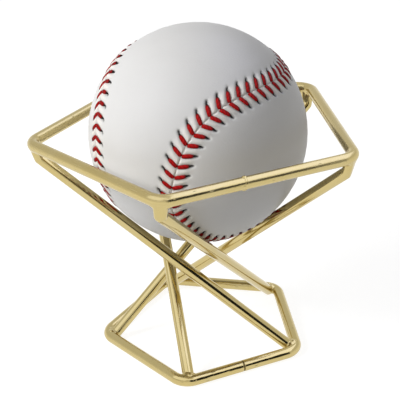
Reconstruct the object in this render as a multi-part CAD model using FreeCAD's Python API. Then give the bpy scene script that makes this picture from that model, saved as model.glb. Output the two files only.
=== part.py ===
import FreeCAD, Part
import math
import os

# Open ball stand of plated wire: a wide pentagon rim, a small pentagon base, and five straight
# struts that twist between their corners. A stitched ball rests on the struts inside the rim.
# Millimetres, +Z up. The origin is on the stand's axis, on the surface that the base stands on,
# and the front corner of the rim points to -Y.

SIDES = 5
STEP = 360.0 / SIDES
HALF = math.radians(STEP / 2)
FRONT = 270.0                 # direction of the front corner, degrees from +X

# Wire rings. The straight runs of a ring, drawn on, would meet on its corner circle.
WIRE_R = 2.0
RIM_CORNER_R = 57.0
RIM_Z = 79.5
BASE_CORNER_R = 37.4
BASE_Z = WIRE_R
BASE_TURN = -1.1              # the base sits turned by this much against the rim, degrees
BEND_R = 6.3                  # centre-line radius of the corner bends

# Struts: each axis runs from under a rim corner to inside the base corner two sides on.
STRUT_TURN = 2 * STEP + BASE_TURN
STRUT_TOP_R = 51.05
STRUT_TOP_Z = 71.25
STRUT_FOOT_R = 31.4
STRUT_FOOT_Z = 4.25
STRUT_TOP_RUN = 4.4           # the square cut end stands this far past the top point
STRUT_FOOT_RUN = 3.0          # and this far past the foot point

# Brazing: a neck of filler carries each strut's top end up to the rim, a fillet with a thin film
# under it holds each foot, and a disc closes each ring.
RIM_WELD_R = 1.9
RIM_WELD_GRIP = 1.6           # how far the neck's axis reaches back over the strut's end
FILM = 0.25
BASE_WELD_R = 2.5
TABLE_CLEAR = 0.3             # no fillet comes lower than this
BUTT_WIDTH = 0.5
RIM_BUTT_PROUD = 0.12         # left standing on the rim, dressed flush on the base
BASE_BUTT_PROUD = 0.0
RIM_BUTT_PLACE = 0.4          # share of the front right side, from its left corner
BASE_BUTT_PLACE = 0.51

# Ball: a cork core in two rubber shells, three wool windings, a finishing winding and leather.
CORK_R = 10.3
INNER_RUBBER_R = 14.3
OUTER_RUBBER_R = 17.45
FIRST_WOOL_R = 31.35
SECOND_WOOL_R = 33.05
THIRD_WOOL_R = 35.3
FINISH_R = 35.85
LEATHER_R = 37.1
BALL_GAP = 0.65               # leather to struts; the stitches reach into it

# Seam: one closed curve that swings twice up and twice down between the two panels.
SEAM_OPENING = 0.409          # radians
SEAM_TURN = FreeCAD.Rotation(-99.2, -72.3, -17.6)
SEAM_NODES = 72
SEAM_FINE = 4000

# Lacing: pairs of short legs that meet on the seam and lean back along it.
STITCHES = 108
THREAD_R = 0.4
LEG_INNER = 0.4               # distance of a leg's inner end from the seam
LEG_OUTER = 4.6               # distance of its needle hole from the seam
LEG_LEAN = 2.6                # how far back along the seam the needle hole is


def polar(radius, degrees, z):
    angle = math.radians(degrees)
    return FreeCAD.Vector(radius * math.cos(angle), radius * math.sin(angle), z)


def rod(start, end, radius):
    """A round bar between two points."""
    return Part.makeCylinder(radius, (end - start).Length, start, end - start)


def joined(solids):
    return solids[0].fuse(solids[1:]).removeSplitter()


# --- stand ---------------------------------------------------------------------------------


def bend_angle(number):
    """Direction of a rim corner; corner 0 is the front one."""
    return FRONT + number * STEP


def bend_centre_r(corner_r):
    return corner_r - BEND_R / math.cos(HALF)


def run_ends(corner_r, z, turn, number):
    """Ends of the straight run from corner number to the next one."""
    middle = bend_angle(number) + turn + STEP / 2
    offset = polar(BEND_R, middle, 0)
    start = polar(bend_centre_r(corner_r), bend_angle(number) + turn, z) + offset
    end = polar(bend_centre_r(corner_r), bend_angle(number + 1) + turn, z) + offset
    return start, end


def butt_point(corner_r, z, turn, place):
    """Centre of the closing joint, on the front right side."""
    start, end = run_ends(corner_r, z, turn, 0)
    return start + (end - start) * place, (end - start).normalize()


def ring(corner_r, z, turn, wire_r, place=None):
    """Pentagon of wire with bent corners, open at its closing joint if a place is given."""
    solids = []
    for number in range(SIDES):
        centre = polar(bend_centre_r(corner_r), bend_angle(number) + turn, z)
        bend = Part.makeTorus(BEND_R, wire_r, centre, FreeCAD.Vector(0, 0, 1), 0, 360, STEP)
        bend.rotate(centre, FreeCAD.Vector(0, 0, 1), bend_angle(number) + turn - STEP / 2)
        solids.append(bend)
        start, end = run_ends(corner_r, z, turn, number)
        if number == 0 and place is not None:
            joint, along = butt_point(corner_r, z, turn, place)
            solids.append(rod(start, joint - along * (BUTT_WIDTH / 2), wire_r))
            solids.append(rod(joint + along * (BUTT_WIDTH / 2), end, wire_r))
        else:
            solids.append(rod(start, end, wire_r))
    return joined(solids)


def butt_weld(corner_r, z, turn, place, proud):
    """Thin disc of filler that closes a ring."""
    joint, along = butt_point(corner_r, z, turn, place)
    half = along * (BUTT_WIDTH / 2)
    return rod(joint - half, joint + half, WIRE_R + proud)


def strut_points(number):
    top = polar(STRUT_TOP_R, bend_angle(number), STRUT_TOP_Z)
    foot = polar(STRUT_FOOT_R, bend_angle(number) + STRUT_TURN, STRUT_FOOT_Z)
    return top, foot


def strut_axis():
    """Top point, foot point and upward direction of strut 0."""
    top, foot = strut_points(0)
    return top, foot, (top - foot).normalize()


def bend_apex(corner_r, z, degrees):
    """Middle of a bend's centre line."""
    return polar(bend_centre_r(corner_r) + BEND_R, degrees, z)


def turned(shape, number):
    copy = shape.copy()
    copy.rotate(FreeCAD.Vector(0, 0, 0), FreeCAD.Vector(0, 0, 1), number * STEP)
    return copy


def make_stand():
    rim = ring(RIM_CORNER_R, RIM_Z, 0, WIRE_R, RIM_BUTT_PLACE)
    base = ring(BASE_CORNER_R, BASE_Z, BASE_TURN, WIRE_R, BASE_BUTT_PLACE)
    parts = {"rim_ring": rim, "base_ring": base}
    parts["rim_butt_weld"] = butt_weld(RIM_CORNER_R, RIM_Z, 0, RIM_BUTT_PLACE, RIM_BUTT_PROUD)
    parts["base_butt_weld"] = butt_weld(BASE_CORNER_R, BASE_Z, BASE_TURN, BASE_BUTT_PLACE,
                                        BASE_BUTT_PROUD)

    # One strut and its two welds, coped to the rings, then turned round to the other corners.
    top, foot, up = strut_axis()
    strut = rod(foot - up * STRUT_FOOT_RUN, top + up * STRUT_TOP_RUN, WIRE_R)
    strut = strut.cut(ring(BASE_CORNER_R, BASE_Z, BASE_TURN, WIRE_R + FILM))
    strut = max(strut.Solids, key=lambda solid: solid.Volume)

    whole_rim = ring(RIM_CORNER_R, RIM_Z, 0, WIRE_R)
    rim_apex = bend_apex(RIM_CORNER_R, RIM_Z, bend_angle(0))
    grip = top + up * (STRUT_TOP_RUN - RIM_WELD_GRIP)
    rim_weld = rod(rim_apex, grip, RIM_WELD_R).cut(whole_rim).cut(strut)

    whole_base = ring(BASE_CORNER_R, BASE_Z, BASE_TURN, WIRE_R)
    base_apex = bend_apex(BASE_CORNER_R, BASE_Z, bend_angle(0) + STRUT_TURN)
    base_contact = (base_apex + foot - up * STRUT_FOOT_RUN) * 0.5 + FreeCAD.Vector(0, 0, FILM)
    table = Part.makeBox(200, 200, 20, FreeCAD.Vector(-100, -100, TABLE_CLEAR - 20))
    base_weld = Part.makeSphere(BASE_WELD_R, base_contact).cut(whole_base).cut(strut).cut(table)

    for number in range(SIDES):
        parts["strut_%d" % (number + 1)] = turned(strut, number)
        parts["rim_weld_%d" % (number + 1)] = turned(rim_weld, number)
        parts["base_weld_%d" % (number + 1)] = turned(base_weld, number)
    return parts


# --- ball ----------------------------------------------------------------------------------


def ball_centre():
    """Where the ball rests: its centre is on the axis, one radius and the gap off each strut."""
    top, foot, up = strut_axis()
    reach = LEATHER_R + WIRE_R + BALL_GAP
    # Distance from (0, 0, z) to the strut's line is a quadratic in z; the upper root is the seat.
    a = 1 - up.z ** 2
    b = -2 * (top.z - up.z * top.dot(up))
    c = top.dot(top) - top.dot(up) ** 2 - reach ** 2
    return FreeCAD.Vector(0, 0, (-b + math.sqrt(b * b - 4 * a * c)) / (2 * a))


def seam_direction(t):
    """Unit vector from the ball's centre to the seam, for t from 0 to 4 pi."""
    polar_angle = math.pi / 2 - (math.pi / 2 - SEAM_OPENING) * math.cos(t)
    around = t / 2 + SEAM_OPENING * math.sin(2 * t)
    direction = FreeCAD.Vector(math.sin(polar_angle) * math.cos(around),
                               math.sin(polar_angle) * math.sin(around),
                               math.cos(polar_angle))
    return SEAM_TURN.multVec(direction)


def even_seam(count):
    """Seam directions at equal steps of length along the seam."""
    fine = [seam_direction(4 * math.pi * k / SEAM_FINE) for k in range(SEAM_FINE + 1)]
    lengths = [0.0]
    for k in range(SEAM_FINE):
        lengths.append(lengths[-1] + (fine[k + 1] - fine[k]).Length)
    even = []
    k = 0
    for number in range(count):
        goal = lengths[-1] * number / count
        while lengths[k + 1] < goal:
            k += 1
        share = (goal - lengths[k]) / (lengths[k + 1] - lengths[k])
        even.append((fine[k] + (fine[k + 1] - fine[k]) * share).normalize())
    return even


def shell(outer_r, inner_r, centre):
    return Part.makeSphere(outer_r, centre).cut(Part.makeSphere(inner_r, centre))


def make_panels(centre):
    """The leather shell, parted along the seam into two figure-eight panels."""
    directions = even_seam(SEAM_NODES)
    edges = []
    for radius in (FINISH_R - 1.0, LEATHER_R + 1.0):
        curve = Part.BSplineCurve()
        curve.interpolate(Points=[centre + d * radius for d in directions], PeriodicFlag=True)
        edges.append(curve.toShape())
    blade = Part.makeRuledSurface(edges[0], edges[1])
    pieces, _ = shell(LEATHER_R, FINISH_R, centre).generalFuse([blade])
    return sorted(pieces.Solids, key=lambda solid: solid.CenterOfMass.z)


def make_leg(centre, length):
    """One stitch leg: half-round thread along +Y across the top of +X on the leather."""
    angle = math.degrees(length / LEATHER_R)
    leg = Part.makeTorus(LEATHER_R, THREAD_R, centre, FreeCAD.Vector(0, 0, 1), 0, 360, angle)
    leg.rotate(centre, FreeCAD.Vector(0, 0, 1), -angle / 2)
    return leg.cut(Part.makeSphere(LEATHER_R, centre))


def make_lacing(centre):
    length = math.hypot(LEG_OUTER - LEG_INNER, LEG_LEAN)
    leg = make_leg(FreeCAD.Vector(0, 0, 0), length)
    seam = even_seam(STITCHES)
    legs = []
    for k in range(STITCHES):
        out = seam[k]
        along = (seam[(k + 1) % STITCHES] - seam[k - 1]).normalize()
        across = out.cross(along)
        for side in (1, -1):
            inner = out + across * (side * LEG_INNER / LEATHER_R)
            hole = out + across * (side * LEG_OUTER / LEATHER_R) - along * (LEG_LEAN / LEATHER_R)
            middle = (inner.normalize() + hole.normalize()).normalize()
            run = (hole - inner).normalize()
            turn = FreeCAD.Rotation(middle, run, FreeCAD.Vector(), "XYZ")
            placed = leg.copy()
            placed.Placement = FreeCAD.Placement(centre, turn)
            legs.append(placed)
    return Part.makeCompound(legs)


def make_ball():
    centre = ball_centre()
    parts = {"cork_core": Part.makeSphere(CORK_R, centre)}
    layers = [("inner_rubber_shell", INNER_RUBBER_R), ("outer_rubber_shell", OUTER_RUBBER_R),
              ("first_wool_winding", FIRST_WOOL_R), ("second_wool_winding", SECOND_WOOL_R),
              ("third_wool_winding", THIRD_WOOL_R), ("finishing_winding", FINISH_R)]
    inner_r = CORK_R
    for name, outer_r in layers:
        parts[name] = shell(outer_r, inner_r, centre)
        inner_r = outer_r
    lower, upper = make_panels(centre)
    parts["cover_panel_1"] = lower
    parts["cover_panel_2"] = upper
    parts["seam_thread"] = make_lacing(centre)
    return parts


parts = {}
parts.update(make_stand())
parts.update(make_ball())
os.makedirs("parts", exist_ok=True)
for name, shape in parts.items():
    shape.exportStep("parts/%s.step" % name)
    print("%-20s %9.1f mm3  solids %d  valid %s" % (name, shape.Volume, len(shape.Solids),
                                                   shape.isValid()))
print("ball centre at z = %.2f" % ball_centre().z)
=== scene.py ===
# %% [markdown]
# # A stitched ball on a twisted wire stand
# The stand is one family of parts: round gold-plated wire, bent and brazed. A wide pentagon of
# wire is the rim, a small pentagon is the base, and five straight struts lean from each rim
# corner to the base corner two places on. Where the struts come closest together they form
# a five-sided seat, and a leather ball rests in it.
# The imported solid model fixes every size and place, so it is loaded first. The scene then
# makes the same pieces again with the detail that a solid model leaves out.

# %% Load the solid model
import bmesh
import bpy
import math
import numpy as np
from mathutils import Euler, Matrix, Vector


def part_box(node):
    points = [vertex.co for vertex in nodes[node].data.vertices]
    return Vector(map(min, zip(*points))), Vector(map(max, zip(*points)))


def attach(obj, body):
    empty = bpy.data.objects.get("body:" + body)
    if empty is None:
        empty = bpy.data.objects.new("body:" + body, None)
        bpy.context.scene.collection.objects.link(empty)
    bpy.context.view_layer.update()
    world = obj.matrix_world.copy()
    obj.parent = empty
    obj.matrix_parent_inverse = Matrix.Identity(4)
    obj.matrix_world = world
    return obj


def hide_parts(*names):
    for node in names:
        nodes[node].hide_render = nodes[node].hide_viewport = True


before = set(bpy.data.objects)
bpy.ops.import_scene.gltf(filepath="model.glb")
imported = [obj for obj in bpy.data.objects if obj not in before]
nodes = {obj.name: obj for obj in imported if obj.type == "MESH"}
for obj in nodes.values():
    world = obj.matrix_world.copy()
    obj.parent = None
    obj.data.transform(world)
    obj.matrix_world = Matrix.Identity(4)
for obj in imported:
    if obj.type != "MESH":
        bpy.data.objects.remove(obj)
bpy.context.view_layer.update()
MM = 0.001

# %% [markdown]
# The camera comes first, because it decides how much detail each piece needs. A long lens from
# a third of a metre keeps the pentagons in gentle perspective. It looks down by a little over
# a quarter of a right angle, so that the base shows through the open middle of the stand.

# %% Camera
CAMERA_AZIMUTH = math.radians(12.27)
CAMERA_ELEVATION = math.radians(25.56)
CAMERA_ROLL = math.radians(-2.49)
CAMERA_DISTANCE = 361.24 * MM
CAMERA_AIM = Vector((0, 0, 53.22 * MM))
CAMERA_SLIDE = -0.294 * MM
CAMERA_LENS = 92.79

turn = Matrix.Rotation(CAMERA_AZIMUTH, 3, "Z")
turn = turn @ Matrix.Rotation(math.pi / 2 - CAMERA_ELEVATION, 3, "X")
turn = turn @ Matrix.Rotation(CAMERA_ROLL, 3, "Z")
camera_data = bpy.data.cameras.new("camera")
camera_data.sensor_width = 36
camera_data.lens = CAMERA_LENS
camera_data.clip_start = 0.01
camera = bpy.data.objects.new("camera", camera_data)
bpy.context.scene.collection.objects.link(camera)
place = CAMERA_AIM + turn.col[0] * CAMERA_SLIDE + turn.col[2] * CAMERA_DISTANCE
camera.matrix_world = Matrix.Translation(place) @ turn.to_4x4()
bpy.context.scene.camera = camera
print("camera", [round(v, 4) for v in camera.location])

# %% [markdown]
# A few helpers are used by every piece. Operators act on whatever is selected, so each step
# starts by selecting one object alone. A finished piece keeps its place in its mesh, with its
# object at the origin, as the nodes of the solid model do.

# %% Helpers for selecting and finishing
MERGE = 0.0001 * MM
NEAR = 0.01 * MM


def only(piece):
    """Select this object alone and make it active."""
    if bpy.context.object and bpy.context.object.mode != "OBJECT":
        bpy.ops.object.mode_set(mode="OBJECT")
    bpy.ops.object.select_all(action="DESELECT")
    piece.select_set(True)
    bpy.context.view_layer.objects.active = piece


def add(primitive, **settings):
    """Add a primitive with nothing else selected."""
    bpy.ops.object.select_all(action="DESELECT")
    primitive(**settings)
    return bpy.context.object


def editing(piece):
    """Open a piece in edit mode with all of it selected."""
    only(piece)
    bpy.ops.object.mode_set(mode="EDIT")
    bpy.ops.mesh.select_mode(type="VERT")
    bpy.ops.mesh.select_all(action="SELECT")


def close_up(merge=0):
    """Merge doubles if asked to, point all faces outwards and leave edit mode."""
    bpy.ops.mesh.select_all(action="SELECT")
    if merge:
        bpy.ops.mesh.remove_doubles(threshold=merge)
    bpy.ops.mesh.normals_make_consistent(inside=False)
    bpy.ops.object.mode_set(mode="OBJECT")


def pick(piece, wanted):
    """In edit mode, select the vertices whose place passes the test, and what lies between."""
    mesh = bmesh.from_edit_mesh(piece.data)
    mesh.select_mode = {"VERT"}
    for vert in mesh.verts:
        vert.select = bool(wanted(vert.co))
    mesh.select_flush_mode()
    bmesh.update_edit_mesh(piece.data)


def settle(piece):
    """Put the object's turn, size and place into its mesh."""
    only(piece)
    bpy.ops.object.transform_apply(location=True, rotation=True, scale=True)


def apply_modifier(piece, kind, **settings):
    """Add a modifier, set it up and apply it at once."""
    only(piece)
    modifier = piece.modifiers.new(kind.lower(), kind)
    for key, value in settings.items():
        setattr(modifier, key, value)
    bpy.ops.object.modifier_apply(modifier=modifier.name)


def join(pieces, name):
    """Join several objects into one."""
    only(pieces[0])
    for piece in pieces:
        piece.select_set(True)
    bpy.ops.object.join()
    pieces[0].name = name
    pieces[0].data.name = name
    return pieces[0]


def copy_turned(piece, name, angle):
    """A copy with its own mesh, turned round the stand's axis."""
    copy = piece.copy()
    copy.data = piece.data.copy()
    copy.name = name
    copy.data.name = name
    bpy.context.scene.collection.objects.link(copy)
    copy.data.transform(Matrix.Rotation(angle, 4, "Z"))
    return copy


def corners_of(piece):
    """Vertex places as an array."""
    places = np.zeros(len(piece.data.vertices) * 3)
    piece.data.vertices.foreach_get("co", places)
    return places.reshape(-1, 3)


def move_corners(piece, places):
    piece.data.vertices.foreach_set("co", np.asarray(places, float).ravel())
    piece.data.update()


def write_attribute(piece, name, values, kind="FLOAT_VECTOR"):
    """Store one value for each vertex, for a material to read."""
    layer = piece.data.attributes.new(name, kind, "POINT")
    key = "vector" if kind == "FLOAT_VECTOR" else "value"
    layer.data.foreach_set(key, np.asarray(values, np.float32).ravel())


def smooth(piece, angle=40):
    only(piece)
    bpy.ops.object.shade_smooth_by_angle(angle=math.radians(angle))


def report(piece):
    size = corners_of(piece)
    spread = (size.max(0) - size.min(0)) / MM
    print(piece.name, len(piece.data.polygons), "faces,", spread.round(1), "mm")


# %% [markdown]
# The stand's sizes are those of the solid model. The wire is 4 mm thick. A ring's straight runs,
# drawn on, would meet on its corner circle, and each corner is bent on a 6.3 mm radius.

# %% Sizes of the stand
SIDES = 5
STEP = math.radians(72)
FRONT = math.radians(270)
WIRE_R = 2.0 * MM
BEND_R = 6.3 * MM
RIM_CORNER_R = 57.0 * MM
RIM_Z = 79.5 * MM
BASE_CORNER_R = 37.4 * MM
BASE_Z = WIRE_R
BASE_TURN = math.radians(-1.1)
STRUT_TURN = 2 * STEP + BASE_TURN
STRUT_TOP = Vector((51.05 * MM, FRONT, 71.25 * MM))
STRUT_FOOT = Vector((31.4 * MM, FRONT + STRUT_TURN, 4.25 * MM))
BUTT_WIDTH = 0.5 * MM
RIM_BUTT_PLACE = 0.4
BASE_BUTT_PLACE = 0.51
SECTION_CORNERS = 48
BEND_STEPS = 20
UP = Vector((0, 0, 1))


def polar(radius, angle, z):
    return Vector((radius * math.cos(angle), radius * math.sin(angle), z))


def bend_centre(corner_r, z, angle):
    return polar(corner_r - BEND_R / math.cos(STEP / 2), angle, z)


def bend_apex(corner_r, z, angle):
    """Middle of a bend's centre line."""
    return bend_centre(corner_r, z, angle) + polar(BEND_R, angle, 0)


print("rim corner at", (bend_apex(RIM_CORNER_R, RIM_Z, FRONT) / MM).to_tuple(1), "mm")


# %% [markdown]
# A ring is one length of wire, bent at five corners and closed by a butt joint on the front right
# side. It is made the way the wire is: one round section is drawn along the straight runs with
# extrude, and taken round each corner with spin. That gives even quads that follow the wire,
# which a torus with flattened sides would not. Both cut ends are closed and slightly rounded,
# so that a hairline shows at the joint.

# %% Draw a ring from one section
def draw_ring(name, corner_r, z, turn, place, edge):
    first = FRONT + turn
    offset = polar(BEND_R, first + STEP / 2, 0)
    start = bend_centre(corner_r, z, first) + offset
    end = bend_centre(corner_r, z, first + STEP) + offset
    along = (end - start).normalized()
    joint = start.lerp(end, place)
    begin = joint + along * (BUTT_WIDTH / 2)

    ring = add(
        bpy.ops.mesh.primitive_circle_add, vertices=SECTION_CORNERS, radius=WIRE_R,
        location=begin, rotation=along.to_track_quat("Z", "Y").to_euler())
    ring.name = name
    settle(ring)
    editing(ring)
    reach = end - begin
    for number in range(SIDES):
        bpy.ops.mesh.extrude_region_move(TRANSFORM_OT_translate={"value": reach})
        centre = bend_centre(corner_r, z, first + (number + 1) * STEP)
        bpy.ops.mesh.spin(steps=BEND_STEPS, angle=-STEP, center=centre, axis=UP)
        reach = Matrix.Rotation((number + 1) * STEP, 3, "Z") @ (end - start)
    last = joint - along * (BUTT_WIDTH / 2) - start
    bpy.ops.mesh.extrude_region_move(TRANSFORM_OT_translate={"value": last})
    for cut in (begin, start + last):
        bpy.ops.mesh.select_all(action="DESELECT")
        pick(ring, lambda co: (co - cut).length < WIRE_R + NEAR
             and abs((co - cut).dot(along)) < NEAR)
        bpy.ops.mesh.edge_face_add()
        bpy.ops.mesh.bevel(offset=edge, segments=2, affect="EDGES")
    close_up(MERGE)
    report(ring)
    return ring, joint, along


# %% Make both rings
rim_wire, rim_joint, rim_along = draw_ring(
    "rim_wire", RIM_CORNER_R, RIM_Z, 0, RIM_BUTT_PLACE, 0.1 * MM)
base_wire, base_joint, base_along = draw_ring(
    "base_wire", BASE_CORNER_R, BASE_Z, BASE_TURN, BASE_BUTT_PLACE, 0.12 * MM)

# %% [markdown]
# The streaks that drawing leaves run along the wire and round its corners, so a material has to
# know which way the wire goes. Each vertex gets its place in the wire: its direction from the
# centre line, as two numbers, and its distance along the wire.

# %% Tell each ring vertex where it is in the wire
STREAK_LENGTH = 20 * MM
BEND_MARKS = 13
RUN_MARKS = 60


def mark_ring(ring, corner_r, z, turn):
    """Compare each vertex with the nearest of many points on the wire's centre line."""
    line = []
    for number in range(SIDES):
        angle = FRONT + turn + number * STEP
        centre = bend_centre(corner_r, z, angle)
        for bend in np.linspace(-STEP / 2, STEP / 2, BEND_MARKS):
            line.append(centre + polar(BEND_R, angle + bend, 0))
        before = line[-1]
        after = bend_centre(corner_r, z, angle + STEP) + polar(BEND_R, angle + STEP / 2, 0)
        for share in np.linspace(0, 1, RUN_MARKS)[1:-1]:
            line.append(before.lerp(after, share))
    line = np.array([point[:] for point in line])
    steps = np.linalg.norm(np.diff(line, axis=0), axis=1)
    lengths = np.concatenate([[0], np.cumsum(steps)])
    places = corners_of(ring)
    nearest = np.zeros(len(places), int)
    for number, spot in enumerate(places):
        nearest[number] = np.argmin(((line - spot) ** 2).sum(1))
    offset = places - line[nearest]
    outward = places[:, :2] / np.linalg.norm(places[:, :2], axis=1)[:, None]
    side = (offset[:, :2] * outward).sum(1)
    section = np.stack([side / WIRE_R, offset[:, 2] / WIRE_R, lengths[nearest] / STREAK_LENGTH])
    write_attribute(ring, "wire", section.T)


mark_ring(rim_wire, RIM_CORNER_R, RIM_Z, 0)
mark_ring(base_wire, BASE_CORNER_R, BASE_Z, BASE_TURN)
print("rings marked")

# %% [markdown]
# A strut is a straight length of the same wire, cut square at the top. The top end shows under
# the rim, so its edge is broken a little, as a wire cutter and the plating leave it. A few plain
# cuts across it keep its faces short. It is modelled once in its place, and copied later.

# %% The first strut
STRUT_TOP_RUN = 4.4 * MM
STRUT_FOOT_RUN = 3.0 * MM
STRUT_CUTS = 12
top = polar(*STRUT_TOP)
foot = polar(*STRUT_FOOT)
lean = (top - foot).normalized()
strut_end = foot - lean * STRUT_FOOT_RUN
strut_length = (top - foot).length + STRUT_TOP_RUN + STRUT_FOOT_RUN

strut = add(
    bpy.ops.mesh.primitive_cylinder_add, vertices=SECTION_CORNERS, radius=WIRE_R,
    depth=strut_length, location=(0, 0, strut_length / 2))
settle(strut)
editing(strut)
bpy.ops.mesh.select_all(action="DESELECT")
pick(strut, lambda co: co.z > strut_length - NEAR)
bpy.ops.mesh.bevel(offset=0.4 * MM, segments=4, affect="EDGES")
bpy.ops.object.mode_set(mode="OBJECT")
for cut in range(1, STRUT_CUTS):
    editing(strut)
    bpy.ops.mesh.bisect(plane_co=(0, 0, strut_length * cut / STRUT_CUTS), plane_no=(0, 0, 1))
bpy.ops.object.mode_set(mode="OBJECT")
local = corners_of(strut)
write_attribute(strut, "wire", local / (WIRE_R, WIRE_R, STREAK_LENGTH))
strut_turn = lean.to_track_quat("Z", "Y").to_matrix().to_4x4()
strut.data.transform(Matrix.Translation(strut_end) @ strut_turn)
report(strut)

# %% [markdown]
# The joints are brazed: filler has run round each contact and drawn itself into a smooth hollow
# fillet. A fillet is hard to model face by face, but easy to grow. Short copies of the two wires
# and a bead of filler are joined, remeshed into one skin of small cubes, and then smoothed.
# The copies are a hair thinner than the real wires, so they stay under them, and smoothing fills
# the crease between them, so that only the fillet comes out.

# %% Grow a brazed joint
VOXEL = 0.16 * MM
COPY_R = WIRE_R - 0.02 * MM
GRIP = 2.5 * MM


def rod(start, end, radius):
    bar = add(
        bpy.ops.mesh.primitive_cylinder_add, vertices=SECTION_CORNERS, radius=radius,
        depth=(end - start).length, location=(start + end) / 2,
        rotation=(end - start).to_track_quat("Z", "Y").to_euler())
    settle(bar)
    return bar


def bend_copy(corner_r, z, angle, reach):
    """A short copy of a ring's wire round one corner."""
    centre = bend_centre(corner_r, z, angle)
    low = centre + polar(BEND_R, angle - STEP / 2, 0)
    high = centre + polar(BEND_R, angle + STEP / 2, 0)
    back = Vector((-math.sin(angle - STEP / 2), math.cos(angle - STEP / 2), 0)) * -reach
    on = Vector((-math.sin(angle + STEP / 2), math.cos(angle + STEP / 2), 0)) * reach
    bend = add(
        bpy.ops.mesh.primitive_circle_add, vertices=SECTION_CORNERS, radius=COPY_R,
        fill_type="NGON", location=low + back,
        rotation=back.to_track_quat("Z", "Y").to_euler())
    settle(bend)
    editing(bend)
    bpy.ops.mesh.extrude_region_move(TRANSFORM_OT_translate={"value": -back})
    bpy.ops.mesh.spin(steps=BEND_STEPS, angle=-STEP, center=centre, axis=UP)
    bpy.ops.mesh.extrude_region_move(TRANSFORM_OT_translate={"value": on})
    close_up(MERGE)
    return bend


def bead(centre, radius, size=(1, 1, 1)):
    drop = add(
        bpy.ops.mesh.primitive_ico_sphere_add, subdivisions=4, radius=radius, location=centre)
    drop.scale = size
    settle(drop)
    return drop


def grow(parts, name, rounds):
    """Join the parts, remesh them into one skin and smooth it this many times."""
    skin = join(parts, name)
    apply_modifier(skin, "REMESH", mode="VOXEL", voxel_size=VOXEL)
    apply_modifier(skin, "SMOOTH", factor=0.5, iterations=rounds)
    smooth(skin, 180)
    report(skin)
    return skin


# %% [markdown]
# At the rim the strut stops short of the bend, so a neck of filler bridges the two. It is two rods
# side by side that spread towards the bend, with a bead where it meets each wire, and it is
# smoothed for long, because so much filler flows. At the base the strut comes down on the
# bend itself, and three beads fill the corner: one at the contact and two beside it.

# %% Rim joint and base joint at their first corners
NECK_R = 1.65 * MM
NECK_ROUNDS = 90
FOOT_ROUNDS = 18
rim_apex = bend_apex(RIM_CORNER_R, RIM_Z, FRONT)
strut_tip = top + lean * STRUT_TOP_RUN
across = polar(1, FRONT + math.pi / 2, 0)
neck_foot = strut_tip - lean * 0.4 * MM - UP * 0.8 * MM
neck_top = rim_apex + polar(0.1 * MM, FRONT, 0)
rim_fillet = grow([
    bend_copy(RIM_CORNER_R, RIM_Z, FRONT, GRIP),
    rod(top - lean * GRIP, strut_tip + lean * 0.15 * MM, COPY_R),
    rod(neck_foot - across * 0.4 * MM, neck_top - across * 1.0 * MM, NECK_R),
    rod(neck_foot + across * 0.4 * MM, neck_top + across * 1.0 * MM, NECK_R),
    bead(rim_apex - UP * 1.35 * MM, 1.5 * MM, (2.6, 1.05, 0.8)),
    bead(neck_foot - lean * 0.8 * MM + UP * 1.0 * MM, 1.6 * MM, (1.3, 1.0, 0.9)),
], "rim_fillet_1", NECK_ROUNDS)

foot_angle = FRONT + STRUT_TURN
base_apex = bend_apex(BASE_CORNER_R, BASE_Z, foot_angle)
contact = (base_apex + strut_end) / 2 + UP * 0.25 * MM
beside = polar(1, foot_angle + math.pi / 2, 0)
inward = -polar(1, foot_angle, 0)
base_fillet = grow([
    bend_copy(BASE_CORNER_R, BASE_Z, foot_angle, GRIP),
    rod(strut_end, foot + lean * 3.0 * MM, COPY_R),
    bead(contact, 1.95 * MM),
    bead(contact + beside * 2.2 * MM + inward * 0.7 * MM - UP * 0.1 * MM, 1.6 * MM),
    bead(contact + beside * 1.4 * MM - inward * 0.3 * MM + UP * 0.8 * MM, 1.3 * MM),
], "base_fillet_1", FOOT_ROUNDS)

# %% [markdown]
# The strut's foot must not poke through the base wire, so it is cut to the wire's shape with a
# boolean. The tool is the same short bend, made a little thicker. Then the strut and its two
# joints are finished, and each is copied round the axis, with its own mesh.

# %% Cope the foot, then copy the strut and its joints round the axis
cutter = bend_copy(BASE_CORNER_R, BASE_Z, foot_angle, 4 * MM)
apply_modifier(cutter, "DISPLACE", strength=0.2 * MM, mid_level=0)
apply_modifier(strut, "BOOLEAN", object=cutter, operation="DIFFERENCE", solver="EXACT")
bpy.data.objects.remove(cutter)
strut.name = "strut_wire_1"
smooth(strut, 15)
smooth(rim_wire, 15)
smooth(base_wire, 15)

struts = [strut]
rim_fillets = [rim_fillet]
base_fillets = [base_fillet]
for number in range(1, SIDES):
    label = str(number + 1)
    struts.append(copy_turned(strut, "strut_wire_" + label, number * STEP))
    rim_fillets.append(copy_turned(rim_fillet, "rim_fillet_" + label, number * STEP))
    base_fillets.append(copy_turned(base_fillet, "base_fillet_" + label, number * STEP))
print(len(struts), "struts,", len(rim_fillets), "rim joints,", len(base_fillets), "base joints")

# %% [markdown]
# Each ring is closed by a butt joint. On the rim the filler was left standing: a thin collar with
# a bump on top and a drip below. On the base it was dressed flush, and only a hairline is left:
# a thin disc of tarnished filler, a little below the surface, between the two cut ends.

# %% The two butt joints
def ring_disc(joint, along, radius, width):
    return rod(joint - along * width / 2, joint + along * width / 2, radius)


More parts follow.
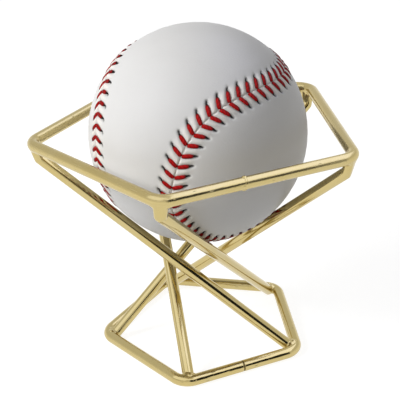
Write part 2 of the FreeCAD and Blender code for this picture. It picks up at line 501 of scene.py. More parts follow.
rim_collar = grow([
    ring_disc(rim_joint, rim_along, WIRE_R + 0.14 * MM, 0.9 * MM),
    bead(rim_joint + UP * 2.0 * MM, 0.62 * MM, (1.3, 1.1, 0.8)),
    bead(rim_joint - UP * 1.95 * MM - rim_along * 0.3 * MM, 0.66 * MM, (1.6, 1.1, 0.8)),
    bead(rim_joint - UP * 1.9 * MM - rim_along * 2.1 * MM, 0.45 * MM, (1.2, 1.0, 0.8)),
], "rim_collar", 6)
base_seal = ring_disc(base_joint, base_along, WIRE_R - 0.2 * MM, BUTT_WIDTH)
base_seal.name = "base_seal"
base_seal.data.name = "base_seal"
smooth(base_seal)
report(base_seal)

# %% [markdown]
# The ball's cover is two figure-eight panels of white leather that meet along one closed seam.
# The seam is a curve on the sphere that swings twice up and twice down. The same formula as in
# the solid model gives its points, so the panels and the stitches agree with it.

# %% The seam
winding_low, winding_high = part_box("finishing_winding")
BALL_CENTRE = (winding_low + winding_high) / 2
LEATHER_R = 37.1 * MM
SEAM_OPENING = 0.409
SEAM_TURN = np.array(Euler(
    (math.radians(-17.6), math.radians(-72.3), math.radians(-99.2)), "XYZ").to_matrix())
STITCHES = 108
SAMPLES = STITCHES * 12
FORMULA_STEPS = 40001


def seam_formula(t):
    down = math.pi / 2 - (math.pi / 2 - SEAM_OPENING) * np.cos(t)
    around = t / 2 + SEAM_OPENING * np.sin(2 * t)
    return np.stack([np.sin(down) * np.cos(around), np.sin(down) * np.sin(around),
                     np.cos(down)], axis=-1)


def unit(rows):
    return rows / np.linalg.norm(rows, axis=-1, keepdims=True)


fine_t = np.linspace(0, 4 * math.pi, FORMULA_STEPS)
fine = seam_formula(fine_t)
seam_steps = np.linalg.norm(np.diff(fine, axis=0), axis=1)
seam_lengths = np.concatenate([[0], np.cumsum(seam_steps)])


def even_seam(count):
    goals = seam_lengths[-1] * np.arange(count) / count
    return seam_formula(np.interp(goals, seam_lengths, fine_t))


SEAM_LENGTH = seam_lengths[-1] * LEATHER_R
PITCH = SEAM_LENGTH / STITCHES
print("ball centre z", round(BALL_CENTRE.z / MM, 2), "seam", round(SEAM_LENGTH / MM, 1),
      "mm, one stitch each", round(PITCH / MM, 2), "mm")

# %% [markdown]
# A stitch is a V of two legs. Each leg comes out of the seam, presses the leather down, leans
# back along the seam, and dives into its needle hole. Between the legs the leather stands up
# in soft puffs. The relief is written as a height for each place beside the seam, from its
# distance to the seam and its distance to the nearest leg.

# %% Relief of the leather beside the seam
LEG_INNER = 0.4 * MM
LEG_OUTER = 4.1 * MM
LEG_LEAN = 1.95 * MM
LEG_ANGLE = math.atan2(LEG_LEAN, LEG_OUTER - LEG_INNER)


def hump(value, centre, width):
    return np.exp(-((value - centre) / width) ** 2)


def leg_distance(length, away):
    """How far a place is from the nearest leg's line, sideways."""
    line = -LEG_LEAN * (away - LEG_INNER) / (LEG_OUTER - LEG_INNER)
    offset = (length - line + PITCH / 2) % PITCH - PITCH / 2
    return offset * math.cos(LEG_ANGLE)


def relief(length, away):
    """Height of the leather, and marks for painted shade in a hole or a crease and a painted
    highlight on a puff.
    """
    side = leg_distance(length, away)
    reach = 1 / (1 + np.exp((away - LEG_OUTER + 0.45 * MM) / (0.35 * MM)))
    groove = -0.24 * MM * hump(away, 0, 0.26 * MM)
    ridge = 0.08 * MM * hump(away, 0.9 * MM, 1.8 * MM)
    half = PITCH * math.cos(LEG_ANGLE) / 2
    beyond = np.clip((np.abs(side) - 0.35 * MM) / (half - 0.35 * MM), 0, 1)
    puff = 0.60 * MM * np.sin(beyond * math.pi / 2)
    press = -0.34 * MM
    hole_x = (away - LEG_OUTER) / math.cos(LEG_ANGLE)
    hole = hump(side, 0, 0.36 * MM) * hump(hole_x, 0.15 * MM, 0.66 * MM)
    dip = hump(side, 0, 0.8 * MM) * hump(hole_x, -0.3 * MM, 1.2 * MM)
    edge = np.clip(away / (0.5 * MM), 0, 1)
    height = groove + ridge + (press + puff) * reach * edge - 0.6 * MM * hole - 0.12 * MM * dip
    # Painted shade: darker in the seam's groove and in a narrow band beside each leg. The puff
    # mark below is a painted highlight, and the hole mark painted shade.
    beside_leg = hump(np.abs(side), 0.38 * MM, 0.22 * MM) * reach * edge
    crease_shade_mask = 0.4 * hump(away, 0, 0.35 * MM) + beside_leg
    looks = np.stack([hole * 2.6 - 0.45, crease_shade_mask, beyond * reach])
    return height, np.clip(looks, 0, 1)


for share in (0, 0.25, 0.5):
    height = relief(share * PITCH, 2 * MM)[0]
    print("leather 2 mm from the seam,", share, "of a stitch on:", round(height / MM, 2), "mm")


# %% [markdown]
# A panel starts as a flat grid. One direction of the grid runs round the seam, and the other
# goes from the seam to the middle of the panel: in fine rows as far as the stitches reach,
# then in wide ones that close on a line, as the two halves of a figure eight fold onto its spine.
# A flat sheet bent by hand would crease, so each grid vertex is placed by its row and column.
# The wall is given its thickness last, and its inner face is set just outside the winding.

# %% Make a leather panel
FINE_ROWS = np.array([0, 0.1, 0.22, 0.36, 0.55, 0.8, 1.1, 1.45, 1.8, 2.15, 2.5, 2.85, 3.2, 3.55,
                      3.85, 4.1, 4.35, 4.6, 4.85, 5.1, 5.4, 5.8, 6.4, 7.2, 8.2]) * MM
WIDE_ROWS = 6
SPINE_SHARE = 0.86
PANEL_MERGE = 0.002 * MM


def slerp(start, end, share):
    angle = np.arccos(np.clip((start * end).sum(-1), -1, 1))[..., None]
    safe = np.maximum(angle, 1e-9)
    return (np.sin((1 - share) * safe) * start + np.sin(share * safe) * end) / np.sin(safe)


def make_panel(name, side):
    """One outer sheet of leather, on the left or the right of the seam."""
    seam = even_seam(SAMPLES)
    along = unit(np.roll(seam, -1, 0) - np.roll(seam, 1, 0))
    across = np.cross(seam, along) * side
    if side > 0:
        place = np.arctan2(seam[:, 1], seam[:, 2]) * SPINE_SHARE
        spine = np.stack([place * 0, np.sin(place), np.cos(place)], 1)
    else:
        place = np.arctan2(seam[:, 0], -seam[:, 2]) * SPINE_SHARE
        spine = np.stack([np.sin(place), place * 0, -np.cos(place)], 1)

    rows = len(FINE_ROWS) + WIDE_ROWS
    panel = add(
        bpy.ops.mesh.primitive_grid_add, x_subdivisions=SAMPLES, y_subdivisions=rows - 1, size=2)
    panel.name = name
    panel.data.name = name
    flat = corners_of(panel)
    column = np.rint((flat[:, 0] + 1) / 2 * SAMPLES).astype(int) % SAMPLES
    row = np.rint((flat[:, 1] + 1) / 2 * (rows - 1)).astype(int)

    last = FINE_ROWS[-1] / LEATHER_R
    away = FINE_ROWS[np.minimum(row, len(FINE_ROWS) - 1)]
    angle = (away / LEATHER_R)[:, None]
    fine_place = np.cos(angle) * seam[column] + np.sin(angle) * across[column]
    edge_place = np.cos(last) * seam[column] + np.sin(last) * across[column]
    share = np.clip((row - len(FINE_ROWS) + 1) / WIDE_ROWS, 0, 1)[:, None]
    wide_place = slerp(edge_place, spine[column], share)
    wide = (row >= len(FINE_ROWS))[:, None]
    out = unit(np.where(wide, wide_place, fine_place))

    height, looks = relief(column * SEAM_LENGTH / SAMPLES, away)
    height = np.where(wide[:, 0], 0, height)
    looks = np.where(wide[:, 0], 0, looks)
    turned = out @ SEAM_TURN.T
    move_corners(panel, np.array(BALL_CENTRE) + turned * (LEATHER_R + height)[:, None])
    # The marks carry painted shade for the needle holes and creases and a painted highlight for
    # the puffs.
    for mark, values in zip(("hole", "crease_shade", "puff"), looks):
        write_attribute(panel, mark, values, "FLOAT")
    editing(panel)
    close_up(PANEL_MERGE)
    return panel


INNER_R = 35.9 * MM


def give_thickness(panel):
    """Turn the sheet into a wall, and set its inner face on a sphere."""
    outer = len(panel.data.vertices)
    middle = np.array(BALL_CENTRE)
    face = panel.data.polygons[0]
    if face.normal.dot(face.center - BALL_CENTRE) < 0:
        editing(panel)
        bpy.ops.mesh.flip_normals()
        bpy.ops.object.mode_set(mode="OBJECT")
    apply_modifier(panel, "SOLIDIFY", thickness=1.0 * MM, offset=-1)
    places = corners_of(panel)
    inner = unit(places[outer:] - middle) * INNER_R + middle
    move_corners(panel, np.concatenate([places[:outer], inner]))
    smooth(panel, 180)
    report(panel)


upper_leather = make_panel("upper_leather", 1)
lower_leather = make_panel("lower_leather", -1)
give_thickness(upper_leather)
give_thickness(lower_leather)

# %% [markdown]
# One stitch leg is a short piece of thick waxed thread, flattened by its pull. It is drawn from
# one small circle by extruding it along and resizing it at each stop, and it keeps few faces,
# because there are 216 of them. Each copy is then laid on the ball: its length runs from the
# seam to its needle hole, and its height is counted from the leather's sphere.

# %% One leg of thread
# Each stop: distance along the leg, height, half its width and half its thickness, in mm.
LEG_STOPS = (
    (0.0, -0.20, 0.52, 0.24), (0.4, 0.04, 0.64, 0.32), (1.3, 0.12, 0.68, 0.32),
    (2.5, 0.10, 0.68, 0.30), (3.3, 0.03, 0.54, 0.28), (3.9, -0.16, 0.32, 0.24),
    (4.4, -0.55, 0.16, 0.18))
before = LEG_STOPS[0]
leg = add(
    bpy.ops.mesh.primitive_circle_add, vertices=8, radius=MM, fill_type="NGON",
    rotation=(0, math.radians(-90), 0))
leg.name = "leg"
settle(leg)
editing(leg)
bpy.ops.transform.resize(value=(1, before[2], before[3]))
bpy.ops.transform.translate(value=(before[0] * MM, 0, before[1] * MM))
for stop in LEG_STOPS[1:]:
    step = Vector((stop[0] - before[0], 0, stop[1] - before[1])) * MM
    bpy.ops.mesh.extrude_region_move(TRANSFORM_OT_translate={"value": step})
    bpy.ops.transform.resize(value=(1, stop[2] / before[2], stop[3] / before[3]))
    before = stop
close_up()
report(leg)

# %% Lay 216 legs along the seam
LEG_START = 0.1 * MM


def lay_leg(local, inner, hole):
    """Bend a leg's vertices over the ball from one direction to another."""
    run = unit(hole - inner * (hole @ inner))
    sideways = np.cross(inner, run)
    angle = local[:, :1] / LEATHER_R
    out = np.cos(angle) * inner + np.sin(angle) * run + local[:, 1:2] / LEATHER_R * sideways
    return unit(out) * (LEATHER_R + local[:, 2:3])


seam = even_seam(STITCHES)
along = unit(np.roll(seam, -1, 0) - np.roll(seam, 1, 0))
leg_local = corners_of(leg)
thread_marks = leg_local / MM
legs = []
for number in range(STITCHES):
    for side in (1, -1):
        across = np.cross(seam[number], along[number]) * side
        inner = unit(seam[number] + across * LEG_START / LEATHER_R)
        hole = unit(seam[number] + across * LEG_OUTER / LEATHER_R
                    - along[number] * LEG_LEAN / LEATHER_R)
        piece = leg.copy()
        piece.data = leg.data.copy()
        bpy.context.scene.collection.objects.link(piece)
        bent = lay_leg(leg_local * (1, side, 1), inner, hole)
        move_corners(piece, np.array(BALL_CENTRE) + bent @ SEAM_TURN.T)
        write_attribute(piece, "thread", thread_marks * (1, side, 1))
        legs.append(piece)
bpy.data.objects.remove(leg)
lacing = join(legs, "lacing")
editing(lacing)
close_up()
smooth(lacing, 60)
report(lacing)

# %% [markdown]
# ## Finishes
# Effects that several finishes share are node groups. A group gives out only values that change
# over the surface, and the shader stays in each material, where its fixed numbers are set on
# its own sockets.

# %% Helpers for node trees
def node(tree, kind, **values):
    """Add a node and set its inputs or its settings by name."""
    made = tree.nodes.new(kind)
    for key, value in values.items():
        socket = made.inputs.get(key.replace("_", " "))
        if socket is None:
            setattr(made, key, value)
        else:
            socket.default_value = value
    return made


def wire_up(tree, source, output, target, entry):
    tree.links.new(source.outputs[output], target.inputs[entry])


def new_group(name, inputs, outputs):
    tree = bpy.data.node_groups.new(name, "ShaderNodeTree")
    for label, value in inputs.items():
        socket = tree.interface.new_socket(
            name=label, in_out="INPUT", socket_type="NodeSocketFloat")
        socket.default_value = value
    for label in outputs:
        tree.interface.new_socket(
            name=label, in_out="OUTPUT", socket_type="NodeSocketFloat")
    start = tree.nodes.new("NodeGroupInput")
    end = tree.nodes.new("NodeGroupOutput")
    return tree, start, end


def place_group(tree, group, **values):
    made = tree.nodes.new("ShaderNodeGroup")
    made.node_tree = group
    for key, value in values.items():
        made.inputs[key.replace("_", " ")].default_value = value
    return made


def new_finish(name, **values):
    """A material with one Principled shader."""
    material = bpy.data.materials.new(name)
    material.use_nodes = True
    tree = material.node_tree
    shader = tree.nodes["Principled BSDF"]
    for key, value in values.items():
        shader.inputs[key.replace("_", " ")].default_value = value
    return material, tree, shader


MIX_FIRST = 6
MIX_SECOND = 7
MIXED = 2


def mix_colour(tree, first, second):
    """Mix two plain colours. A Mix node's colour sockets are known by number."""
    made = tree.nodes.new("ShaderNodeMix")
    made.data_type = "RGBA"
    made.inputs[MIX_FIRST].default_value = first
    made.inputs[MIX_SECOND].default_value = second
    return made


def mix_over(tree, below, colour):
    """Mix a plain colour over what an earlier mix gives out."""
    made = mix_colour(tree, colour, colour)
    wire_up(tree, below, MIXED, made, MIX_FIRST)
    return made


def add_bump(tree, source, output, shader, strength, distance):
    """Ripple the surface by the height that a node gives out."""
    bump = node(tree, "ShaderNodeBump", Strength=strength, Distance=distance)
    wire_up(tree, source, output, bump, "Height")
    wire_up(tree, bump, "Normal", shader, "Normal")


def dress(piece, material):
    piece.data.materials.clear()
    piece.data.materials.append(material)


# %% [markdown]
# Drawn wire has fine streaks along its length, which plating softens but does not hide. The
# group reads each vertex's place in the wire, so the streaks follow every bend.

# %% Group: streaks along drawn wire
streaks, group_in, group_out = new_group(
    "Streaks along wire", {"Fineness": 7.0, "Stretch": 1.0}, ["Streak"])
where = node(streaks, "ShaderNodeAttribute", attribute_name="wire")
stretch = node(streaks, "ShaderNodeCombineXYZ")
scaled = node(streaks, "ShaderNodeVectorMath", operation="MULTIPLY")
grain = node(streaks, "ShaderNodeTexNoise", Scale=1.0, Detail=3.0, Roughness=0.6)
wire_up(streaks, group_in, "Fineness", stretch, "X")
wire_up(streaks, group_in, "Fineness", stretch, "Y")
wire_up(streaks, group_in, "Stretch", stretch, "Z")
wire_up(streaks, where, "Vector", scaled, 0)
wire_up(streaks, stretch, "Vector", scaled, 1)
wire_up(streaks, scaled, "Vector", grain, "Vector")
wire_up(streaks, grain, 0, group_out, "Streak")
print("group", streaks.name)

# %% [markdown]
# Plating is never quite even: broad, soft patches are a little duller or warmer. The same cloud
# of noise also varies the rubber, the yarn and the leather.

# %% Group: uneven patches
patches, group_in, group_out = new_group(
    "Uneven patches", {"Size": 100.0, "Low": 0.0, "High": 1.0}, ["Patch"])
where = node(patches, "ShaderNodeTexCoord")
cloud = node(patches, "ShaderNodeTexNoise", Detail=3.0, Roughness=0.55)
spread = node(patches, "ShaderNodeMapRange", From_Min=0.3, From_Max=0.7)
wire_up(patches, where, "Object", cloud, "Vector")
wire_up(patches, group_in, "Size", cloud, "Scale")
wire_up(patches, cloud, 0, spread, "Value")
wire_up(patches, group_in, "Low", spread, "To Min")
wire_up(patches, group_in, "High", spread, "To Max")
wire_up(patches, spread, "Result", group_out, "Patch")
print("group", patches.name)

# %% [markdown]
# Under the plating the wire carries a few short scratches and pits, drawn out along it. They are
# the cells of a stretched Voronoi pattern, and only the few cells near their centres are kept.

# %% Group: pits in the wire
pits, group_in, group_out = new_group("Pits in wire", {"Amount": 0.1}, ["Pit"])
where = node(pits, "ShaderNodeAttribute", attribute_name="wire")
scaled = node(pits, "ShaderNodeVectorMath", operation="MULTIPLY")
scaled.inputs[1].default_value = (2.2, 2.2, 2.6)
cells = node(pits, "ShaderNodeTexVoronoi", Scale=1.0, Randomness=1.0)
core = node(pits, "ShaderNodeMapRange", To_Min=1.0, To_Max=0.0)
wire_up(pits, where, "Vector", scaled, 0)
wire_up(pits, scaled, "Vector", cells, "Vector")
wire_up(pits, cells, "Distance", core, "Value")
wire_up(pits, group_in, "Amount", core, "From Max")
wire_up(pits, core, "Result", group_out, "Pit")
print("group", pits.name)

# %% [markdown]
# The gold is a pale brass-like plating on steel. A metal shows what is round it, so its own colour
# hardly changes: patches warm it a little, and streaks blur the gloss and ripple the surface. The
# rim is a little duller than the rest. The filler in the base joint has lost its shine.

# %% Gold-plated wire
GOLD = (0.580, 0.476, 0.226, 1)
WARM_GOLD = (0.560, 0.435, 0.160, 1)
DARK_PIT = (0.10, 0.075, 0.03, 1)
TARNISH = (0.16, 0.12, 0.05, 1)


def make_gold(name, roughness, ripple, pit_amount):
    gold, tree, shader = new_finish(name, Metallic=1.0, Roughness=roughness)
    streak = place_group(tree, streaks, Fineness=7.0, Stretch=0.5)
    slow = place_group(tree, streaks, Fineness=1.3, Stretch=2.0)
    patch = place_group(tree, patches, Size=90.0, Low=0.0, High=0.55)
    pit = place_group(tree, pits, Amount=pit_amount)
    colour = mix_colour(tree, GOLD, WARM_GOLD)
    worn = mix_over(tree, colour, DARK_PIT)
    wire_up(tree, patch, "Patch", colour, "Factor")
    wire_up(tree, pit, "Pit", worn, "Factor")
    wire_up(tree, worn, MIXED, shader, "Base Color")
    gloss = node(tree, "ShaderNodeMapRange", From_Min=0.3, From_Max=0.7,
                 To_Min=roughness * 0.7, To_Max=roughness * 1.4)
    wire_up(tree, streak, "Streak", gloss, "Value")
    wire_up(tree, gloss, "Result", shader, "Roughness")
    fine_bump = node(tree, "ShaderNodeBump", Strength=ripple, Distance=0.06 * MM)
    slow_bump = node(tree, "ShaderNodeBump", Strength=ripple, Distance=0.4 * MM)
    pit_bump = node(tree, "ShaderNodeBump", Strength=0.6, Distance=0.2 * MM, invert=True)
    wire_up(tree, streak, "Streak", fine_bump, "Height")
    wire_up(tree, slow, "Streak", slow_bump, "Height")
    wire_up(tree, pit, "Pit", pit_bump, "Height")
    wire_up(tree, slow_bump, "Normal", fine_bump, "Normal")
    wire_up(tree, fine_bump, "Normal", pit_bump, "Normal")
    wire_up(tree, pit_bump, "Normal", shader, "Normal")
    return gold


plated_wire = make_gold("plated wire", 0.11, 0.22, 0.12)
satin_wire = make_gold("satin plated wire", 0.21, 0.16, 0.10)
plated_filler = make_gold("plated filler", 0.13, 0.3, 0.0)
tarnish, tree, shader = new_finish(
    "tarnished filler", Metallic=1.0, Roughness=0.5, Base_Color=TARNISH)
print("gold", GOLD[:3])

# %% [markdown]
# The cover is white leather with a fine pebbled grain. Its seam is coloured by the marks that the
# relief left on each vertex: a painted highlight on the puffs between the stitches, painted shade
# in the creases beside the thread and in the seam's groove, and near-black painted shade in the
# needle holes.

# %% Group: leather grain
leather_grain, group_in, group_out = new_group(
    "Leather grain", {"Size": 1500.0}, ["Height"])
where = node(leather_grain, "ShaderNodeTexCoord")
pebbles = node(leather_grain, "ShaderNodeTexVoronoi", feature="SMOOTH_F1", Smoothness=0.6)
creases = node(leather_grain, "ShaderNodeTexNoise", Detail=5.0, Roughness=0.65)
both = node(leather_grain, "ShaderNodeMath", operation="ADD")
wire_up(leather_grain, where, "Object", pebbles, "Vector")
wire_up(leather_grain, where, "Object", creases, "Vector")
wire_up(leather_grain, group_in, "Size", pebbles, "Scale")
wire_up(leather_grain, group_in, "Size", creases, "Scale")
wire_up(leather_grain, pebbles, "Distance", both, 0)
wire_up(leather_grain, creases, 0, both, 1)
wire_up(leather_grain, both, 0, group_out, "Height")
print("group", leather_grain.name)

# %% White leather
CLEAN_LEATHER = (0.83, 0.822, 0.81, 1)
WARM_LEATHER = (0.79, 0.78, 0.765, 1)
# Painted highlight on the raised puffs between the stitches.
PUFF_HIGHLIGHT = (0.98, 0.94, 0.88, 1)
# Painted shade for the creases in the seam's groove and beside the thread.
CREASE_SHADE = (0.56, 0.53, 0.48, 1)
# Painted shade in the needle holes, nearly black.
HOLE_SHADE = (0.012, 0.010, 0.010, 1)
leather, tree, shader = new_finish(
    "white leather", Metallic=0.0, Roughness=0.5, Specular_IOR_Level=0.4)
grain = place_group(tree, leather_grain, Size=1500.0)
patch = place_group(tree, patches, Size=70.0, Low=0.0, High=0.5)
clean = mix_colour(tree, CLEAN_LEATHER, WARM_LEATHER)
wire_up(tree, patch, "Patch", clean, "Factor")
marked = clean
for mark, colour in (("puff", PUFF_HIGHLIGHT), ("crease_shade", CREASE_SHADE), ("hole", HOLE_SHADE)):
    amount = node(tree, "ShaderNodeAttribute", attribute_name=mark)
    marked = mix_over(tree, marked, colour)
    wire_up(tree, amount, "Fac", marked, "Factor")
wire_up(tree, marked, MIXED, shader, "Base Color")
add_bump(tree, grain, "Height", shader, 0.35, 0.08 * MM)
print(leather.name)

# %% [markdown]
# The thread is red cotton, waxed and twisted. Its marks are its own: how far along the leg, and
# how far round it, so that the twist runs as a helix, with painted shade in the grooves between
# the strands. Its round sides, which Layer Weight finds, get painted shade in a deeper red, and
# its outer end, where it sinks into its hole, gets near-black painted shade.

# %% Red waxed thread
STRANDS = 2.0
TWIST = 5.0
STRAND_RED = (0.60, 0.010, 0.009, 1)
# Painted shade in the grooves of the twist.
GROOVE_SHADE_RED = (0.38, 0.004, 0.004, 1)
# Painted shade on the thread's round sides.
SIDE_SHADE_RED = (0.10, 0.002, 0.002, 1)
# Painted shade where the thread sinks into its hole.
SUNK_THREAD_SHADE = (0.015, 0.010, 0.010, 1)
thread, tree, shader = new_finish(
    "red thread", Metallic=0.0, Roughness=0.6, Specular_IOR_Level=0.12)
marks = node(tree, "ShaderNodeAttribute", attribute_name="thread")
parts = node(tree, "ShaderNodeSeparateXYZ")
wire_up(tree, marks, "Vector", parts, "Vector")
round_it = node(tree, "ShaderNodeMath", operation="ARCTAN2")
wire_up(tree, parts, "Y", round_it, 0)
wire_up(tree, parts, "Z", round_it, 1)
advance = node(tree, "ShaderNodeMath", operation="MULTIPLY")
advance.inputs[1].default_value = TWIST
wire_up(tree, parts, "X", advance, 0)
phase = node(tree, "ShaderNodeMath", operation="MULTIPLY_ADD")
phase.inputs[1].default_value = STRANDS
wire_up(tree, round_it, 0, phase, 0)
wire_up(tree, advance, 0, phase, 2)
twist = node(tree, "ShaderNodeMath", operation="SINE")
wire_up(tree, phase, 0, twist, 0)
between = node(tree, "ShaderNodeMapRange", From_Min=-1.0, From_Max=1.0)
wire_up(tree, twist, 0, between, "Value")
red = mix_colour(tree, GROOVE_SHADE_RED, STRAND_RED)
wire_up(tree, between, "Result", red, "Factor")
# Painted shade: the thread gets darker where its sides turn away from the view.
side_shade = node(tree, "ShaderNodeLayerWeight", Blend=0.45)
shaded = mix_over(tree, red, SIDE_SHADE_RED)
wire_up(tree, side_shade, "Facing", shaded, "Factor")
# Painted shade: the last part of each leg goes nearly black as it sinks into its hole.
sunk_shade = node(tree, "ShaderNodeMapRange", From_Min=3.1, From_Max=3.8)
wire_up(tree, parts, "X", sunk_shade, "Value")
ended = mix_over(tree, shaded, SUNK_THREAD_SHADE)
wire_up(tree, sunk_shade, "Result", ended, "Factor")
wire_up(tree, ended, MIXED, shader, "Base Color")
add_bump(tree, between, "Result", shader, 0.6, 0.08 * MM)
print(thread.name)

# %% [markdown]
# The layers under the cover stay as the solid model has them, because they are plain balls and
# shells, and only their finish is added: yarn laid in crossing turns, black and red rubber, and
# a core of cork granules.

# %% Group: wound yarn
wound, group_in, group_out = new_group("Wound yarn", {"Pitch": 900.0}, ["Height"])
where = node(wound, "ShaderNodeTexCoord")
layers = []
for tilt in ((0.3, 0.2, 0.0), (1.3, 0.7, 0.4), (0.5, 1.6, 1.1)):
    aim = node(wound, "ShaderNodeMapping", Rotation=tilt)
    turns = node(wound, "ShaderNodeTexWave", Distortion=1.2, Detail=1.0)
    wire_up(wound, where, "Object", aim, "Vector")
    wire_up(wound, aim, "Vector", turns, "Vector")
    wire_up(wound, group_in, "Pitch", turns, "Scale")
    layers.append(turns)
region = node(wound, "ShaderNodeTexNoise", Scale=60.0, Detail=1.0)
wire_up(wound, where, "Object", region, "Vector")
choice = node(wound, "ShaderNodeMapRange", From_Min=0.45, From_Max=0.5)
wire_up(wound, region, 0, choice, "Value")
first_mix = node(wound, "ShaderNodeMix")
second_mix = node(wound, "ShaderNodeMix")
wire_up(wound, choice, "Result", first_mix, 0)
wire_up(wound, layers[0], "Fac", first_mix, 2)
wire_up(wound, layers[1], "Fac", first_mix, 3)
other = node(wound, "ShaderNodeMapRange", From_Min=0.58, From_Max=0.6)
wire_up(wound, region, 0, other, "Value")
wire_up(wound, other, "Result", second_mix, 0)
wire_up(wound, first_mix, 0, second_mix, 2)
wire_up(wound, layers[2], "Fac", second_mix, 3)
wire_up(wound, second_mix, 0, group_out, "Height")
print("group", wound.name)


# %% Yarn, rubber and cork
def make_yarn(name, light, shade, pitch):
    yarn, tree, shader = new_finish(name, Roughness=0.9, Specular_IOR_Level=0.2)
    turns = place_group(tree, wound, Pitch=pitch)
    colour = mix_colour(tree, shade, light)
    wire_up(tree, turns, "Height", colour, "Factor")
    wire_up(tree, colour, MIXED, shader, "Base Color")
    add_bump(tree, turns, "Height", shader, 0.8, 0.3 * MM)
    return yarn


def make_speckled(name, first, second, size, roughness, depth):
    finish, tree, shader = new_finish(name, Roughness=roughness)
    patch = place_group(tree, patches, Size=size, Low=0.0, High=1.0)
    colour = mix_colour(tree, first, second)
    wire_up(tree, patch, "Patch", colour, "Factor")
    wire_up(tree, colour, MIXED, shader, "Base Color")
    add_bump(tree, patch, "Patch", shader, 0.5, depth)
    return finish


grey_yarn = make_yarn("grey wool yarn", (0.36, 0.36, 0.37, 1), (0.14, 0.14, 0.15, 1), 500)
white_yarn = make_yarn("white wool yarn", (0.74, 0.72, 0.66, 1), (0.38, 0.36, 0.32, 1), 500)
cotton = make_yarn("cotton finishing yarn", (0.78, 0.76, 0.70, 1), (0.45, 0.43, 0.38, 1), 1100)
black_rubber = make_speckled(
    "black rubber", (0.020, 0.020, 0.020, 1), (0.040, 0.038, 0.036, 1), 500, 0.6, 0.05 * MM)
red_rubber = make_speckled(
    "red rubber", (0.36, 0.03, 0.025, 1), (0.25, 0.02, 0.02, 1), 500, 0.6, 0.05 * MM)
cork = make_speckled(
    "cork", (0.48, 0.29, 0.14, 1), (0.20, 0.10, 0.045, 1), 900, 0.85, 0.2 * MM)
for name, finish in (
        ("cork_core", cork), ("inner_rubber_shell", black_rubber),
        ("outer_rubber_shell", red_rubber), ("first_wool_winding", grey_yarn),
        ("second_wool_winding", white_yarn), ("third_wool_winding", grey_yarn),
        ("finishing_winding", cotton)):
    dress(nodes[name], finish)
    print(name, "is finished in", finish.name)

# %% [markdown]
# Each piece is now given its finish, the body it moves with and the solid that it stands for. The
# stand stays still and the ball lifts out of it.

# %% Finish, body and solid of each piece
def assign(piece, material, body, slot, *solids):
    dress(piece, material)
    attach(piece, body)
    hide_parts(*solids)


assign(rim_wire, satin_wire, "stand", "gold_wire", "rim_ring")
assign(base_wire, plated_wire, "stand", "gold_wire", "base_ring")
assign(rim_collar, plated_filler, "stand", "gold_wire", "rim_butt_weld")
assign(base_seal, tarnish, "stand", "gold_wire", "base_butt_weld")
for number in range(SIDES):
    label = str(number + 1)
    assign(struts[number], plated_wire, "stand", "gold_wire", "strut_" + label)
    assign(rim_fillets[number], plated_filler, "stand", "gold_wire", "rim_weld_" + label)
    assign(base_fillets[number], plated_filler, "stand", "gold_wire", "base_weld_" + label)
assign(upper_leather, leather, "ball", "white_leather", "cover_panel_2")
assign(lower_leather, leather, "ball", "white_leather", "cover_panel_1")
assign(lacing, thread, "ball", "red_thread", "seam_thread")

# %% [markdown]
# ## Studio
# The floor is a plain white sheet. Seen by the camera or in the metal it gives out most of its
# white itself, and the rest is lit, so that the stand's shadow still shows on it. To soft light
# it is an ordinary pale surface. Light Path tells which ray is asking.

# %% Which rays see a white room
def seen_rays(tree):
    """One for a ray from the camera, a reflection or a transmission."""
    rays = node(tree, "ShaderNodeLightPath")
    seen = node(tree, "ShaderNodeMath", operation="MAXIMUM")
    seen_too = node(tree, "ShaderNodeMath", operation="MAXIMUM")
    wire_up(tree, rays, "Is Camera Ray", seen, 0)
    wire_up(tree, rays, "Is Glossy Ray", seen, 1)
    wire_up(tree, rays, "Is Transmission Ray", seen_too, 0)
    wire_up(tree, seen, 0, seen_too, 1)
    return seen_too


# %% Floor
FLOOR_GLOW = 0.87
FLOOR_LIT = 0.34
FLOOR_PAPER = 0.55
floor = add(bpy.ops.mesh.primitive_plane_add, size=12, location=(0, 0, -0.02 * MM))
floor.name = "floor"
sheet = bpy.data.materials.new("white sheet")
sheet.use_nodes = True
tree = sheet.node_tree
tree.nodes.remove(tree.nodes["Principled BSDF"])
seen = seen_rays(tree)
paper = node(tree, "ShaderNodeBsdfDiffuse", Color=(FLOOR_PAPER, FLOOR_PAPER, FLOOR_PAPER, 1))
lit = node(tree, "ShaderNodeBsdfDiffuse", Color=(FLOOR_LIT, FLOOR_LIT, FLOOR_LIT, 1))
glow = node(tree, "ShaderNodeEmission", Strength=FLOOR_GLOW)
shown = node(tree, "ShaderNodeAddShader")
choose = node(tree, "ShaderNodeMixShader")
wire_up(tree, lit, 0, shown, 0)
wire_up(tree, glow, 0, shown, 1)
wire_up(tree, seen, 0, choose, 0)
wire_up(tree, paper, 0, choose, 1)
wire_up(tree, shown, 0, choose, 2)
wire_up(tree, choose, 0, tree.nodes["Material Output"], "Surface")
floor.data.materials.append(sheet)
print(floor.name, "has the finish", sheet.name)

# %% [markdown]
# The world is the white room behind. It is seen white at the horizon and a little grey higher
# up, which keeps polished metal from going blank, and it lights the object softly all round.

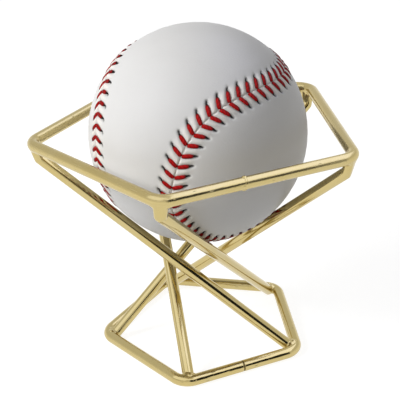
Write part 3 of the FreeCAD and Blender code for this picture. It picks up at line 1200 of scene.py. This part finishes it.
# %% World
AMBIENT = 0.30
WALL = 0.77
world = bpy.data.worlds.new("white room")
bpy.context.scene.world = world
world.use_nodes = True
tree = world.node_tree
room = tree.nodes["Background"]
room.inputs["Color"].default_value = (1, 1, 1, 1)
seen = seen_rays(tree)
aim = node(tree, "ShaderNodeTexCoord")
rise = node(tree, "ShaderNodeSeparateXYZ")
wall = node(tree, "ShaderNodeMapRange", From_Min=0.12, From_Max=0.35, To_Min=1.0, To_Max=WALL)
wire_up(tree, aim, "Generated", rise, "Vector")
wire_up(tree, rise, "Z", wall, "Value")
level = node(tree, "ShaderNodeMapRange", To_Min=AMBIENT)
wire_up(tree, wall, "Result", level, "To Max")
wire_up(tree, seen, 0, level, "Value")
wire_up(tree, level, "Result", room, "Strength")
print("world", world.name)

# %% [markdown]
# One broad lamp, high on the left of the camera, models the ball. Metal doesn't mirror it,
# because it would show there as a hard white square.

# %% Lamp
STUDIO_MIDDLE = Vector((0, 0, 50 * MM))
KEY_DISTANCE = 0.9


def direction(azimuth, elevation):
    """A direction from the object. Azimuth 0 is +Y, and 90 is +X."""
    return polar(math.cos(math.radians(elevation)), math.radians(90 - azimuth),
                 math.sin(math.radians(elevation)))


lamp_data = bpy.data.lights.new("key", "AREA")
lamp_data.shape = "SQUARE"
lamp_data.size = 0.35
lamp_data.energy = 5.4
key = bpy.data.objects.new("key", lamp_data)
bpy.context.scene.collection.objects.link(key)
key_side = direction(-123, 36)
key.location = STUDIO_MIDDLE + key_side * KEY_DISTANCE
key.rotation_euler = key_side.to_track_quat("Z", "Y").to_euler()
key.visible_camera = False
key.visible_glossy = False
print("lamp at", [round(v, 3) for v in key.location])

# %% [markdown]
# Polished metal looks like metal only when it has something to mirror. Four plain cards stand
# round it, as in a studio: a bright one high on the right, a paler one high on the left of the
# camera, a black one low on the right of the camera, and a narrow bright one over the black.
# They show in the metal alone, and their size is given as the angle that they fill.

# %% Cards that the metal mirrors
def add_card(name, azimuth, elevation, wide, tall, glow, colour=(1, 1, 1, 1)):
    """A glowing card at a metre's distance that faces the object."""
    out = direction(azimuth, elevation)
    card = add(
        bpy.ops.mesh.primitive_plane_add, size=1, location=STUDIO_MIDDLE + out,
        rotation=out.to_track_quat("Z", "Y").to_euler())
    card.name = name
    card.scale = (2 * math.tan(math.radians(wide / 2)), 2 * math.tan(math.radians(tall / 2)), 1)
    face = bpy.data.materials.new(name)
    face.use_nodes = True
    tree = face.node_tree
    tree.nodes.remove(tree.nodes["Principled BSDF"])
    light = node(tree, "ShaderNodeEmission", Strength=glow, Color=colour)
    wire_up(tree, light, 0, tree.nodes["Material Output"], "Surface")
    card.data.materials.append(face)
    card.visible_camera = False
    card.visible_diffuse = False
    card.visible_shadow = False
    print(name, "at", azimuth, elevation)


add_card("bright_card", 66, 61, 74, 38, 1.65, (0.95, 1.0, 1.35, 1))
add_card("pale_card", -142, 52, 60, 46, 1.35, (0.97, 1.0, 1.15, 1))
add_card("black_card", 137, 18, 48, 36, 0.02)
add_card("edge_card", 128, 46, 60, 14, 1.5, (0.97, 1.0, 1.2, 1))

# %% [markdown]
# The picture is shown without a film look, so that colours come out as they are written.

bpy.context.scene.view_settings.view_transform = "Standard"
